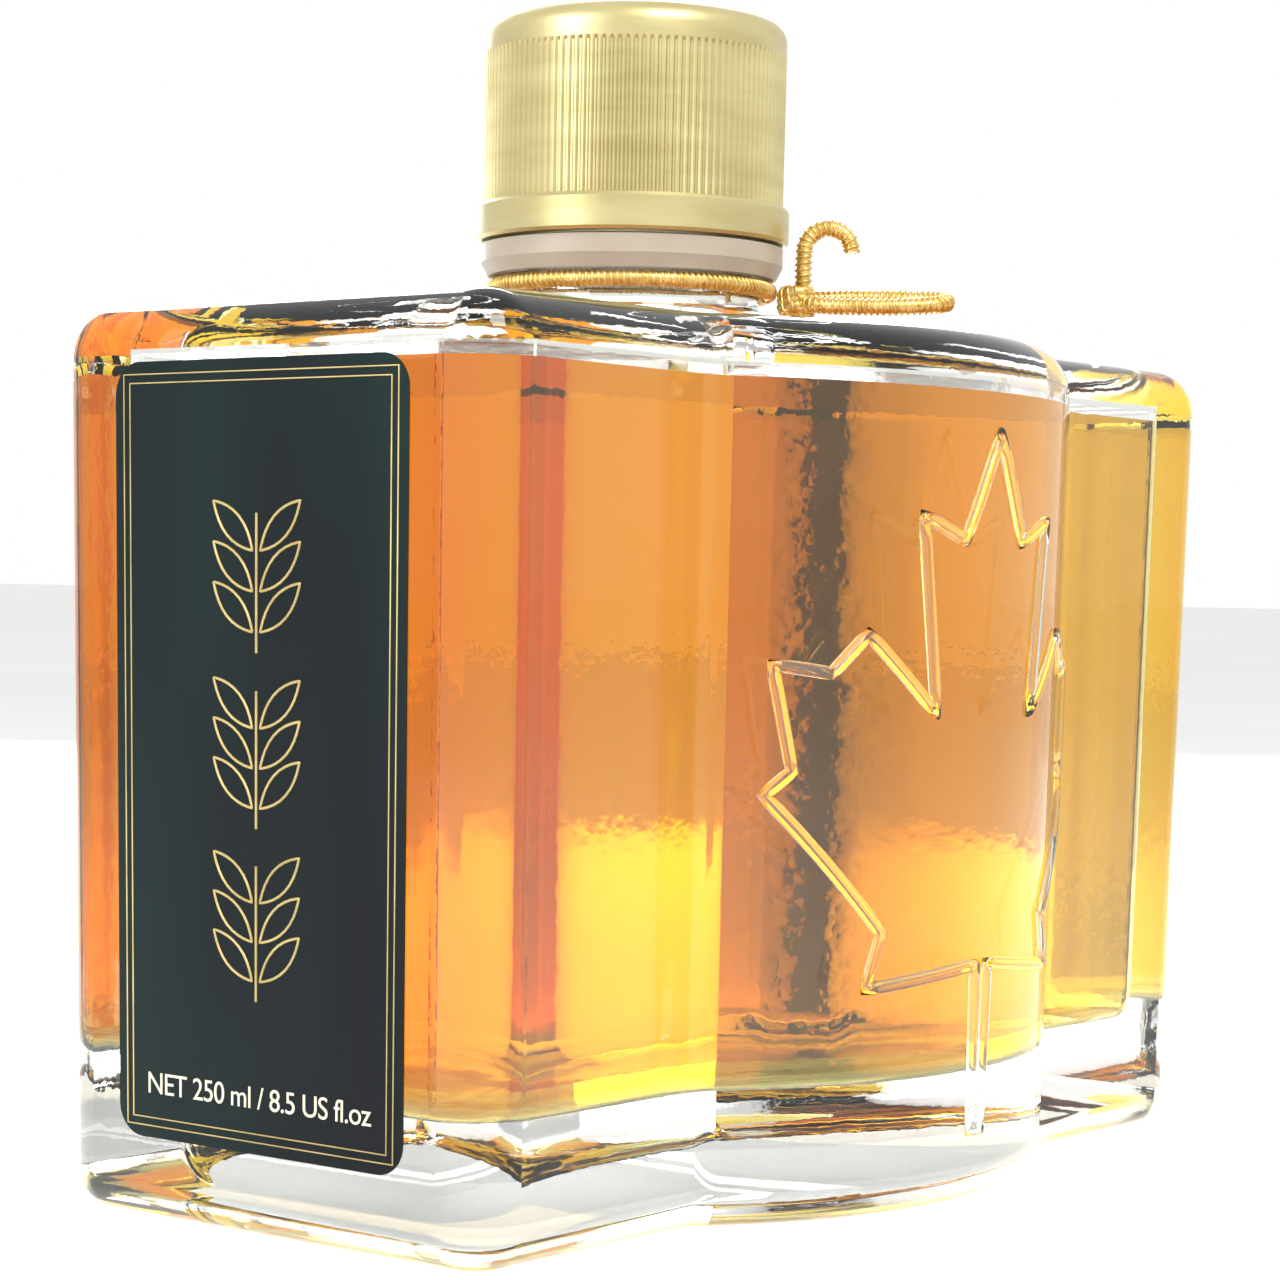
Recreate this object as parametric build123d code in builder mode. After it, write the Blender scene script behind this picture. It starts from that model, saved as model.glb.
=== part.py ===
"""Maple syrup bottle: flag-shaped glass with a bowed centre panel, syrup, label, screw cap and gold neck tie.

Millimetres. The long side runs along X, the front with the leaf panel faces -Y, and the base rests on Z = 0.
"""

import math
import os

from build123d import *

# Body, outside
WIDTH = 111.6
DEPTH = 48.3
BODY_HEIGHT = 76.0
BOW_HALF_WIDTH = 27.1
BOW_RISE = 9.8
CORNER_RADIUS = 4.8
CREASE_RADIUS = 3.0
SHOULDER_RADIUS = 4.4
HEEL_RADIUS = 3.3

# Body, inside
WALL = 5.4
FLOOR = 11.5
ROOF = 4.0
CAVITY_CORNER = 3.0
FLOOR_FILLET = 2.6
SYRUP_LEVEL = 70.9
SYRUP_CLEARANCE = 0.03

# Neck: its axis sits a little behind the middle of the body
NECK_Y = 6.4
NECK_RADIUS = 11.8
NECK_ROOT = 4.0
BORE_RADIUS = 8.8
NECK_TOP = 100.5

# Closure
CAP_SKIRT_BOTTOM = 84.9
CAP_LEDGE = 88.1
CAP_TOP = 104.5
CAP_SKIRT_RADIUS = 14.4
CAP_TOP_RADIUS = 13.8
CAP_INSIDE = 12.1
CAP_TOP_WALL = 2.0
CAP_EDGE = 1.6
RING_BOTTOM = 81.8
RING_TOP = 84.6
RING_RADIUS = 13.9
RING_FOOT_RADIUS = 13.3

# Label on the narrow end
LABEL_WIDTH = 32.0
LABEL_BOTTOM = 7.4
LABEL_TOP = 71.0
LABEL_THICKNESS = 0.12
LABEL_CORNER = 2.7

# Gold tie round the neck
TIE_RADIUS = 0.8
TIE_Z = 80.8
TIE_RING = NECK_RADIUS + TIE_RADIUS + 0.1
KNOT_ANGLE = -60.0
KNOT_RADIUS = 1.7
KNOT_REACH = 15.3
KNOT_DROP = 0.9
HOOK_FOOT = 0.6
HOOK_RISE = 4.4
HOOK_TURN = 2.2
LOOP_LENGTH = 13.2
LOOP_HALF_WIDTH = 2.9
LOOP_TURN = 2.2
LOOP_TILT = 14.0


def bow_arc(inset, side):
    """Circle radius and centre of the bowed panel, moved inwards by inset; side is -1 for the front."""
    radius = (BOW_HALF_WIDTH**2 + BOW_RISE**2) / (2 * BOW_RISE)
    centre = side * (DEPTH / 2 + BOW_RISE - radius)
    return radius - inset, centre


def plan(inset):
    """Outline of the body seen from above, moved inwards by inset, as a closed chain of lines and arcs."""
    half_w, half_d = WIDTH / 2 - inset, DEPTH / 2 - inset
    radius, centre = bow_arc(inset, -1)
    foot = math.sqrt(radius**2 - (half_d + centre) ** 2)
    apex = radius - centre
    front_left, front_right = (-foot, -half_d), (foot, -half_d)
    back_left, back_right = (-foot, half_d), (foot, half_d)
    Polyline(front_left, (-half_w, -half_d), (-half_w, half_d), back_left)
    ThreePointArc(back_left, (0, apex), back_right)
    Polyline(back_right, (half_w, half_d), (half_w, -half_d), front_right)
    ThreePointArc(front_right, (0, -apex), front_left)


def prism(inset, bottom, top, corner, crease):
    """Upright block with the body's plan, its four corners and four creases rounded."""
    with BuildPart() as block:
        with BuildSketch(Plane.XY.offset(bottom)):
            with BuildLine():
                plan(inset)
            make_face()
        extrude(amount=top - bottom)
        upright = block.edges().filter_by(Axis.Z)
        outer = [e for e in upright if abs(e.center().X) > WIDTH / 3]
        inner = [e for e in upright if abs(e.center().X) <= WIDTH / 3]
        fillet(outer, corner)
        fillet(inner, crease)
    return block.part


def cavity(inset, top):
    """Space inside the glass up to top, with its floor edge rounded."""
    with BuildPart() as space:
        add(prism(inset, FLOOR, top, CAVITY_CORNER, CREASE_RADIUS + WALL))
        fillet(space.faces().sort_by(Axis.Z)[0].edges(), FLOOR_FILLET)
    return space.part


def turned(points):
    """Solid of revolution about the neck's axis from (radius, height) points."""
    with BuildPart() as solid:
        with BuildSketch(Plane.XZ.offset(-NECK_Y)):
            with BuildLine():
                Polyline(*points, close=True)
            make_face()
        revolve(axis=Axis((0, NECK_Y, 0), (0, 0, 1)))
    return solid.part


# Glass: body with rounded shoulder and heel, neck with a flared root, thread bead, bore and cavity
with BuildPart() as bottle_glass:
    add(prism(0, 0, BODY_HEIGHT, CORNER_RADIUS, CREASE_RADIUS))
    fillet(bottle_glass.faces().sort_by(Axis.Z)[-1].edges(), SHOULDER_RADIUS)
    fillet(bottle_glass.faces().sort_by(Axis.Z)[0].edges(), HEEL_RADIUS)
    with Locations((0, NECK_Y, BODY_HEIGHT - 1)):
        Cylinder(NECK_RADIUS, NECK_TOP - BODY_HEIGHT + 1, align=(Align.CENTER, Align.CENTER, Align.MIN))
    root = bottle_glass.edges().filter_by(GeomType.CIRCLE).filter_by(
        lambda e: abs(e.center().Z - BODY_HEIGHT) < 0.01 and abs(e.radius - NECK_RADIUS) < 0.01
    )
    fillet(root, NECK_ROOT)
    add(cavity(WALL, BODY_HEIGHT - ROOF), mode=Mode.SUBTRACT)
    with Locations((0, NECK_Y, BODY_HEIGHT - ROOF - 1)):
        Cylinder(BORE_RADIUS, NECK_TOP, align=(Align.CENTER, Align.CENTER, Align.MIN), mode=Mode.SUBTRACT)
bottle_glass.part.label = "bottle_glass"

# Syrup up to its level, a hair clear of the walls and resting on the floor
with BuildPart() as syrup:
    add(cavity(WALL + SYRUP_CLEARANCE, SYRUP_LEVEL))
syrup.part.label = "syrup"

# Screw cap: smooth foot below a ledge, tapering skirt, rounded top, hollow underneath
with BuildPart() as cap:
    add(
        turned(
            [
                (0, CAP_SKIRT_BOTTOM),
                (CAP_SKIRT_RADIUS, CAP_SKIRT_BOTTOM),
                (CAP_SKIRT_RADIUS - 0.05, CAP_LEDGE),
                (CAP_SKIRT_RADIUS - 0.35, CAP_LEDGE + 0.35),
                (CAP_TOP_RADIUS, CAP_TOP),
                (0, CAP_TOP),
            ]
        )
    )
    fillet(cap.faces().sort_by(Axis.Z)[-1].edges(), CAP_EDGE)
    with Locations((0, NECK_Y, CAP_SKIRT_BOTTOM)):
        Cylinder(
            CAP_INSIDE,
            CAP_TOP - CAP_TOP_WALL - CAP_SKIRT_BOTTOM,
            align=(Align.CENTER, Align.CENTER, Align.MIN),
            mode=Mode.SUBTRACT,
        )
    # Sealing plug that sits on the rim of the neck
    with Locations((0, NECK_Y, NECK_TOP)):
        Cylinder(
            NECK_RADIUS - 1, CAP_TOP - CAP_TOP_WALL - NECK_TOP, align=(Align.CENTER, Align.CENTER, Align.MIN)
        )
cap.part.label = "cap"

# Tamper ring below the cap, narrowing downwards
with BuildPart() as tamper_ring:
    add(
        turned(
            [
                (NECK_RADIUS + 0.3, RING_BOTTOM),
                (RING_FOOT_RADIUS, RING_BOTTOM),
                (RING_RADIUS, RING_BOTTOM + 1.2),
                (RING_RADIUS, RING_TOP),
                (NECK_RADIUS + 0.3, RING_TOP),
            ]
        )
    )
tamper_ring.part.label = "tamper_ring"

# Label: thin plate with rounded corners on the end at -X
with BuildPart() as label:
    with BuildSketch(Plane.YZ.offset(-WIDTH / 2)):
        with Locations((0, (LABEL_BOTTOM + LABEL_TOP) / 2)):
            RectangleRounded(LABEL_WIDTH, LABEL_TOP - LABEL_BOTTOM, LABEL_CORNER)
    extrude(amount=-LABEL_THICKNESS)
label.part.label = "label"

# Gold tie: ring round the neck, knot outside it, upturned hook and flat loop
turn = math.radians(KNOT_ANGLE)
tilt = math.radians(LOOP_TILT)
outward = Vector(math.cos(turn), math.sin(turn), 0)
sideways = Vector(-math.sin(turn), math.cos(turn), 0)
knot_centre = Vector(0, NECK_Y, TIE_Z - KNOT_DROP) + outward * KNOT_REACH
hook_plane = Plane(origin=knot_centre, x_dir=outward, z_dir=-sideways)
loop_normal = Vector(0, 0, 1) * math.cos(tilt) - sideways * math.sin(tilt)
loop_plane = Plane(origin=knot_centre, x_dir=outward, z_dir=loop_normal)

with BuildPart() as neck_tie:
    with Locations((0, NECK_Y, TIE_Z)):
        Torus(TIE_RING, TIE_RADIUS)
    with Locations(knot_centre):
        Sphere(KNOT_RADIUS)
    # Short bridge from the ring to the knot
    with BuildLine() as bridge:
        Line(Vector(0, NECK_Y, TIE_Z) + outward * TIE_RING, knot_centre)
    with BuildSketch(Plane(origin=bridge.line @ 0, z_dir=bridge.line % 0)):
        Circle(TIE_RADIUS)
    sweep(path=bridge.line)
    with BuildLine(hook_plane) as hook:
        Line((HOOK_FOOT, 0), (HOOK_FOOT, HOOK_RISE))
        RadiusArc((HOOK_FOOT, HOOK_RISE), (HOOK_FOOT + 2 * HOOK_TURN, HOOK_RISE), HOOK_TURN)
    with BuildSketch(Plane(origin=hook.line @ 0, z_dir=hook.line % 0)):
        Circle(TIE_RADIUS)
    sweep(path=hook.line)
    with BuildLine(loop_plane) as loop:
        FilletPolyline(
            (HOOK_FOOT, TIE_RADIUS),
            (LOOP_LENGTH, LOOP_HALF_WIDTH),
            (LOOP_LENGTH, -LOOP_HALF_WIDTH),
            (HOOK_FOOT, -TIE_RADIUS),
            radius=LOOP_TURN,
        )
    with BuildSketch(Plane(origin=loop.line @ 0, z_dir=loop.line % 0)):
        Circle(TIE_RADIUS)
    sweep(path=loop.line)
neck_tie.part.label = "neck_tie"

if __name__ == "__main__":
    os.makedirs("parts", exist_ok=True)
    for piece in (bottle_glass, syrup, cap, tamper_ring, label, neck_tie):
        export_step(piece.part, f"parts/{piece.part.label}.step")
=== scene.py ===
"""Maple syrup bottle on a pale floor: glass, syrup, leaf relief, printed end label, knurled cap and gold tie."""

import math

import bmesh
import bpy
from mathutils import Matrix, Vector


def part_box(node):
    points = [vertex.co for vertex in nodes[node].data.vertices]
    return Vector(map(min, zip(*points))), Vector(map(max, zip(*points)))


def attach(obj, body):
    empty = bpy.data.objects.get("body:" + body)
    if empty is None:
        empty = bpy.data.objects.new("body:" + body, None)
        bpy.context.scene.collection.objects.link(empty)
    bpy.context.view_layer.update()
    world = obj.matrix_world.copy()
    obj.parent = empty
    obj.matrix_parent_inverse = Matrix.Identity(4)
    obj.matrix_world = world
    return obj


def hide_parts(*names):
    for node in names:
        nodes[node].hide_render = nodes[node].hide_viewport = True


MM = 0.001
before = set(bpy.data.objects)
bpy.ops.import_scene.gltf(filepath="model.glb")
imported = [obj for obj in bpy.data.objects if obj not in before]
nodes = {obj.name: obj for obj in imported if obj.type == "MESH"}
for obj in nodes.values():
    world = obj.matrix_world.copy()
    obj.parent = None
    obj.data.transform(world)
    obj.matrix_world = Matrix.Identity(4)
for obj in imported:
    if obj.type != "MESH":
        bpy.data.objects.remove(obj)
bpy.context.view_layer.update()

# Sizes in metres that part.py sets and that a box can't give
NECK_Y = 6.4 * MM
BOW_RADIUS = 42.37 * MM
BOW_CENTRE_Y = 8.42 * MM
TIE_RADIUS = 0.8 * MM
TIE_Z = 80.8 * MM
TIE_RING = 12.7 * MM
KNOT_ANGLE = math.radians(-60)
KNOT_REACH = 15.3 * MM
KNOT_DROP = 0.9 * MM
SYRUP_OVERLAP = 0.15 * MM


# Materials

def new_material(name, **sockets):
    """Principled material with the named sockets set; spaces in socket names are written as underscores."""
    material = bpy.data.materials.new(name)
    material.use_nodes = True
    shader = material.node_tree.nodes["Principled BSDF"]
    for key, value in sockets.items():
        shader.inputs[key.replace("_", " ")].default_value = value
    return material


def add_noise(material, scale, low, high, socket="Base Color", stretch=(1, 1, 1)):
    """Drives one shader socket with noise between two colours."""
    tree = material.node_tree
    place = tree.nodes.new("ShaderNodeTexCoord")
    mapping = tree.nodes.new("ShaderNodeMapping")
    mapping.inputs["Scale"].default_value = stretch
    noise = tree.nodes.new("ShaderNodeTexNoise")
    noise.inputs["Scale"].default_value = scale
    ramp = tree.nodes.new("ShaderNodeValToRGB")
    ramp.color_ramp.elements[0].position = 0.35
    ramp.color_ramp.elements[1].position = 0.68
    ramp.color_ramp.elements[0].color = low
    ramp.color_ramp.elements[1].color = high
    tree.links.new(place.outputs["Object"], mapping.inputs["Vector"])
    tree.links.new(mapping.outputs["Vector"], noise.inputs["Vector"])
    tree.links.new(noise.outputs["Fac"], ramp.inputs["Fac"])
    tree.links.new(ramp.outputs["Color"], tree.nodes["Principled BSDF"].inputs[socket])


def add_bump(material, scale, strength):
    """Fine noise bump."""
    tree = material.node_tree
    noise = tree.nodes.new("ShaderNodeTexNoise")
    noise.inputs["Scale"].default_value = scale
    bump = tree.nodes.new("ShaderNodeBump")
    bump.inputs["Strength"].default_value = strength
    bump.inputs["Distance"].default_value = 0.0002
    tree.links.new(noise.outputs["Fac"], bump.inputs["Height"])
    tree.links.new(bump.outputs["Normal"], tree.nodes["Principled BSDF"].inputs["Normal"])


glass = new_material("clear_glass", Base_Color=(0.97, 0.985, 0.96, 1), Roughness=0.0, IOR=1.46,
                     Transmission_Weight=1.0)
add_bump(glass, 60, 0.04)
syrup_look = new_material("amber_syrup", Base_Color=(1.0, 0.90, 0.30, 1), Roughness=0.0, IOR=1.4,
                          Transmission_Weight=1.0)
absorb = syrup_look.node_tree.nodes.new("ShaderNodeVolumeAbsorption")
absorb.inputs["Color"].default_value = (0.99, 0.82, 0.0, 1)
absorb.inputs["Density"].default_value = 95
syrup_look.node_tree.links.new(absorb.outputs[0], syrup_look.node_tree.nodes["Material Output"].inputs["Volume"])
cap_gold = new_material("satin_cap_gold", Metallic=0.75, Roughness=0.36)
add_noise(cap_gold, 90, (0.50, 0.43, 0.20, 1), (0.58, 0.51, 0.26, 1), stretch=(1, 1, 6))
ring_plastic = new_material("ring_plastic", Roughness=0.42, Transmission_Weight=0.25)
add_noise(ring_plastic, 120, (0.50, 0.42, 0.32, 1), (0.60, 0.52, 0.42, 1))
film = new_material("label_film", Roughness=0.35, Specular_IOR_Level=0.12)
add_noise(film, 28, (0.006, 0.006, 0.009, 1), (0.010, 0.032, 0.028, 1), stretch=(1, 1, 0.3))
ink_gold = new_material("label_gold", Metallic=0.4, Roughness=0.4)
add_noise(ink_gold, 300, (0.42, 0.32, 0.12, 1), (0.55, 0.43, 0.18, 1))
ink_cream = new_material("label_cream", Roughness=0.5)
add_noise(ink_cream, 400, (0.66, 0.62, 0.48, 1), (0.74, 0.70, 0.56, 1))
thread = new_material("gold_thread", Metallic=0.85, Roughness=0.32)
add_noise(thread, 900, (0.62, 0.40, 0.10, 1), (0.85, 0.62, 0.24, 1))


def assign(piece, material):
    """The piece shows this material only."""
    piece.data.materials.clear()
    piece.data.materials.append(material)


for node_name, material in (("bottle_glass", glass), ("tamper_ring", ring_plastic), ("label", film)):
    for material_slot in nodes[node_name].material_slots:
        material_slot.link = "OBJECT"
        material_slot.material = material


def add_piece(name, data, material):
    """New object in the scene that rides on the bottle and takes a slot's finish."""
    piece = bpy.data.objects.new(name, data)
    bpy.context.scene.collection.objects.link(piece)
    assign(piece, material)
    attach(piece, "root")
    return piece


# Syrup: the CAD solid grown just into the glass, so that no air gap shows

grown = bmesh.new()
grown.from_mesh(nodes["syrup"].data)
bmesh.ops.remove_doubles(grown, verts=grown.verts, dist=1e-6)
bmesh.ops.recalc_face_normals(grown, faces=grown.faces)
grown.normal_update()
shifts = [vert.normal * vert.calc_shell_factor() * SYRUP_OVERLAP for vert in grown.verts]
for vert, shift in zip(grown.verts, shifts):
    vert.co += shift
for face in grown.faces:
    face.smooth = True
for edge in grown.edges:
    edge.smooth = edge.calc_face_angle(0) < math.radians(35)
syrup_mesh = bpy.data.meshes.new("syrup_fill")
grown.to_mesh(syrup_mesh)
grown.free()
syrup_fill = add_piece("syrup_fill", syrup_mesh, syrup_look)
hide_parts("syrup")
# Clear glass and syrup let the soft light reach the floor, which Cycles shadows would leave black
syrup_fill.visible_shadow = False
nodes["bottle_glass"].visible_shadow = False


# Cap: turned shell with a fine knurl between the rounded top and the ledge

def turned_mesh(name, profile, segments, knurl=0.0):
    """Closed mesh turned round the neck's axis from (radius, height, knurled) points, first and last on the axis."""
    body = bmesh.new()
    rings = []
    for radius, height, knurled in profile:
        ring = []
        for step in range(segments):
            angle = math.tau * step / segments
            reach = radius - (knurl if knurled and step % 4 > 1 else 0)
            ring.append(body.verts.new((reach * math.cos(angle), NECK_Y + reach * math.sin(angle), height)))
        rings.append(ring)
    for low, high in zip(rings, rings[1:]):
        for step in range(segments):
            after = (step + 1) % segments
            body.faces.new((low[step], low[after], high[after], high[step]))
    body.faces.new(rings[0])
    body.faces.new(rings[-1])
    bmesh.ops.recalc_face_normals(body, faces=body.faces)
    for face in body.faces:
        face.smooth = len(face.verts) == 4
    for edge in body.edges:
        edge.smooth = edge.calc_face_angle(0) < math.radians(32)
    mesh = bpy.data.meshes.new(name)
    body.to_mesh(mesh)
    body.free()
    return mesh


cap_low, cap_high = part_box("cap")
cap_bottom = cap_low[2]
cap_top = cap_high[2]
skirt = (cap_high[0] - cap_low[0]) / 2
crown = skirt - 0.6 * MM
ledge = cap_bottom + 3.2 * MM
CAP_INSIDE = 12.1 * MM
roof = cap_top - 2.0 * MM
EDGE = 1.8 * MM
profile = [(1 * MM, roof, False), (CAP_INSIDE, roof, False), (CAP_INSIDE, cap_bottom, False),
           (skirt - 0.25 * MM, cap_bottom, False), (skirt, cap_bottom + 0.3 * MM, False),
           (skirt, ledge - 0.3 * MM, False), (skirt - 0.2 * MM, ledge, False), (crown, ledge + 0.1 * MM, True),
           (crown, cap_top - EDGE - 1.6 * MM, True), (crown, cap_top - EDGE - 1.3 * MM, False)]
for step in range(7):
    bend = math.radians(15 * step)
    profile.append((crown - EDGE * (1 - math.cos(bend)), cap_top - EDGE * (1 - math.sin(bend)), False))
profile.append((1 * MM, cap_top, False))
cap_shell = add_piece("cap_shell", turned_mesh("cap_shell", profile, 480, 0.22 * MM), cap_gold)
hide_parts("cap")


# Leaf: raised line on the bowed front panel, symmetric about the panel's middle

def tube(name, lines, radius, material, cyclic=False, roundness=3):
    """Mesh of one or more lines of points with a round section."""
    curve = bpy.data.curves.new(name, "CURVE")
    curve.dimensions = "3D"
    curve.bevel_depth = radius
    curve.bevel_resolution = roundness
    curve.use_fill_caps = True
    for points in lines:
        spline = curve.splines.new("POLY")
        spline.points.add(len(points) - 1)
        for point, place in zip(spline.points, points):
            point.co = (*place, 1)
        spline.use_cyclic_u = cyclic
    carrier = bpy.data.objects.new(name, curve)
    mesh = bpy.data.meshes.new_from_object(carrier)
    bpy.data.objects.remove(carrier)
    return add_piece(name, mesh, material)


def on_bow(x, z):
    """Point just proud of the front bow's surface at x and z in millimetres."""
    reach = math.sqrt(BOW_RADIUS**2 - (x * MM) ** 2)
    return (x * MM, BOW_CENTRE_Y - reach, z * MM)


def dense(points, step=1.0):
    """Points along a chain of straight runs, about step apart."""
    out = []
    for (xa, za), (xb, zb) in zip(points, points[1:]):
        count = max(1, round(math.hypot(xb - xa, zb - za) / step))
        out += [(xa + (xb - xa) * i / count, za + (zb - za) * i / count) for i in range(count)]
    return out + [points[-1]]


# Left half of the outline from the top tip to the stem's foot, in millimetres across and up
LEAF_HALF = [(0, 67.3), (-4.6, 58.2), (-9.8, 60.2), (-7.6, 43.6), (-15.1, 50.3), (-18.3, 47.0), (-23.1, 47.7),
             (-21.4, 38.9), (-23.5, 36.9), (-12.9, 25.1), (-14.3, 20.3), (-1.0, 21.7), (-0.7, 6.8)]
left = dense(LEAF_HALF)
right = [(-x, z) for x, z in left]
outline = [on_bow(x, z) for x, z in left + right[:0:-1]]
tube("leaf_relief", [outline], 0.6 * MM, glass, cyclic=True)


# Label print, read from -X: thin gold border lines, three plain oval-leaf sprigs and the volume line

label_low, label_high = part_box("label")
FACE_X = label_low[0] - 0.02 * MM
LABEL_MID = (label_low[2] + label_high[2]) / 2


def on_label(across, up):
    """Point on the label's face, across to the reader's right and up, in millimetres."""
    return (FACE_X, -across * MM, up * MM)


def oval(cx, cz, long_half, short_half, tilt):
    """Closed pointed oval of points on the label."""
    points = []
    for step in range(24):
        turn = math.tau * step / 24
        a = long_half * math.cos(turn)
        b = short_half * math.sin(turn) * abs(math.sin(turn))
        points.append(on_label(cx + a * math.cos(tilt) - b * math.sin(tilt),
                               cz + a * math.sin(tilt) + b * math.cos(tilt)))
    return points


leaves = []
stems = []
for base_z in (20.0, 34.0, 48.0):
    stems.append([on_label(0, base_z), on_label(0, base_z + 11)])
    for level in range(3):
        for side in (-1, 1):
            tilt = math.radians(90 - side * 48)
            height = base_z + 2 + 3.2 * level
            leaves.append(oval(side * 2.6, height + 1.6, 2.9, 1.0, tilt))
tube("label_leaves", leaves, 0.12 * MM, ink_gold, cyclic=True)
tube("label_stems", stems, 0.12 * MM, ink_gold)
edges = []
for margin in (1.0, 1.7):
    half = 16 - margin
    low = label_low[2] / MM + margin
    high = label_high[2] / MM - margin
    edges.append([on_label(-half, low), on_label(half, low), on_label(half, high), on_label(-half, high)])
tube("label_border", edges, 0.08 * MM, ink_gold, cyclic=True)

text = bpy.data.curves.new("volume_line", "FONT")
text.body = "NET 250 ml / 8.5 US fl.oz"
text.size = 2.6 * MM
text.space_character = 0.95
text.align_x = "CENTER"
text.extrude = 0.02 * MM
volume_line = bpy.data.objects.new("volume_line", text)
bpy.context.scene.collection.objects.link(volume_line)
volume_line.matrix_world = Matrix(((0, 0, -1, FACE_X), (-1, 0, 0, 0), (0, 1, 0, 11.2 * MM), (0, 0, 0, 1)))
assign(volume_line, ink_cream)
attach(volume_line, "root")


# Neck tie: core and a wound strand along each run

outward = Vector((math.cos(KNOT_ANGLE), math.sin(KNOT_ANGLE), 0))
sideways = Vector((-math.sin(KNOT_ANGLE), math.cos(KNOT_ANGLE), 0))
upward = Vector((0, 0, 1))
knot = Vector((0, NECK_Y, TIE_Z - KNOT_DROP)) + outward * KNOT_REACH


def from_knot(out, side, rise):
    """Point placed from the knot's centre, in millimetres."""
    return knot + (outward * out + sideways * side + upward * rise) * MM


def wound(path, pitch=0.55 * MM, turns=10):
    """Strand wound round a path of points, one turn each pitch."""
    points = []
    phase = 0.0
    for here, there in zip(path, path[1:]):
        along = (there - here).normalized()
        across = along.cross(Vector((0.31, 0.21, 0.93))).normalized()
        over = along.cross(across)
        count = max(1, round((there - here).length / pitch * turns))
        for step in range(count):
            place = here.lerp(there, step / count)
            points.append(place + (across * math.cos(phase) + over * math.sin(phase)) * TIE_RADIUS * 0.82)
            phase += math.tau / turns
    return points


ring_path = [Vector((TIE_RING * math.cos(math.tau * k / 72), NECK_Y + TIE_RING * math.sin(math.tau * k / 72), TIE_Z))
             for k in range(73)]
bend_points = [from_knot(2.8 - 2.2 * math.cos(math.radians(18 * k)), 0, 4.4 + 2.2 * math.sin(math.radians(18 * k)))
               for k in range(11)]
hook_path = [from_knot(0.6, 0, 0)] + bend_points
loop_path = [from_knot(7.2 - 6.6 * math.cos(math.tau * k / 40), 2.6 * math.sin(math.tau * k / 40),
                       0.6 * math.sin(math.tau * k / 40)) for k in range(41)]
knot_path = [from_knot(1.0 * math.cos(math.tau * k / 14), 1.0 * math.sin(math.tau * k / 14),
                       -0.9 + 1.8 * k / 42) for k in range(43)]
runs = (ring_path, hook_path, loop_path, knot_path)
core = tube("tie_core", runs, TIE_RADIUS * 0.82, thread)
tube("tie_strand", [wound(run) for run in runs], TIE_RADIUS * 0.2, thread, roundness=1)
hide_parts("neck_tie")


# Floor, light and camera

floor_mesh = bpy.data.meshes.new("floor")
floor_mesh.from_pydata([(-30, -30, 0), (30, -30, 0), (30, 30, 0), (-30, 30, 0)], [], [(0, 1, 2, 3)])
floor = bpy.data.objects.new("floor", floor_mesh)
bpy.context.scene.collection.objects.link(floor)
floor_look = new_material("pale_floor", Roughness=0.6)
add_noise(floor_look, 3, (0.80, 0.80, 0.79, 1), (0.83, 0.83, 0.82, 1))
assign(floor, floor_look)

world = bpy.data.worlds.new("studio")
world.use_nodes = True
world.node_tree.nodes["Background"].inputs["Color"].default_value = (1.0, 1.0, 1.0, 1)
world.node_tree.nodes["Background"].inputs["Strength"].default_value = 1.0
bpy.context.scene.world = world
bpy.context.scene.view_settings.view_transform = "Standard"


def add_area(name, place, target, size, power):
    """Square soft light aimed at a point."""
    light = bpy.data.lights.new(name, "AREA")
    light.size = size
    light.energy = power
    lamp = bpy.data.objects.new(name, light)
    bpy.context.scene.collection.objects.link(lamp)
    lamp.location = place
    lamp.rotation_euler = (Vector(target) - Vector(place)).to_track_quat("-Z", "Y").to_euler()


middle = (0, 0, 0.045)
add_area("key", (-0.25, -0.55, 0.65), middle, 0.35, 5)
add_area("back", (0.45, 0.5, 0.35), middle, 0.5, 6)
add_area("side", (-0.7, 0.15, 0.35), middle, 0.3, 2.5)

BODY = 0.076
yaw, pitch, roll = 0.667, -0.170, 0.019
forward = Vector((math.cos(yaw) * math.cos(pitch), math.sin(yaw) * math.cos(pitch), math.sin(pitch)))
level = Vector((math.sin(yaw), -math.cos(yaw), 0))
over = level.cross(forward)
camera_x = level * math.cos(roll) + over * math.sin(roll)
camera_y = over * math.cos(roll) - level * math.sin(roll)
camera_data = bpy.data.cameras.new("camera")
camera_data.lens = 91.68
camera_data.sensor_width = 36
camera_data.shift_x = 0.0341
camera_data.shift_y = 0.3986
camera_data.clip_start = 0.01
camera = bpy.data.objects.new("camera", camera_data)
bpy.context.scene.collection.objects.link(camera)
turn = Matrix((camera_x, camera_y, -forward)).transposed().to_4x4()
camera.matrix_world = Matrix.Translation(Vector((-3.226, -2.427, 0.703)) * BODY) @ turn
bpy.context.scene.camera = camera

bpy.context.view_layer.update()
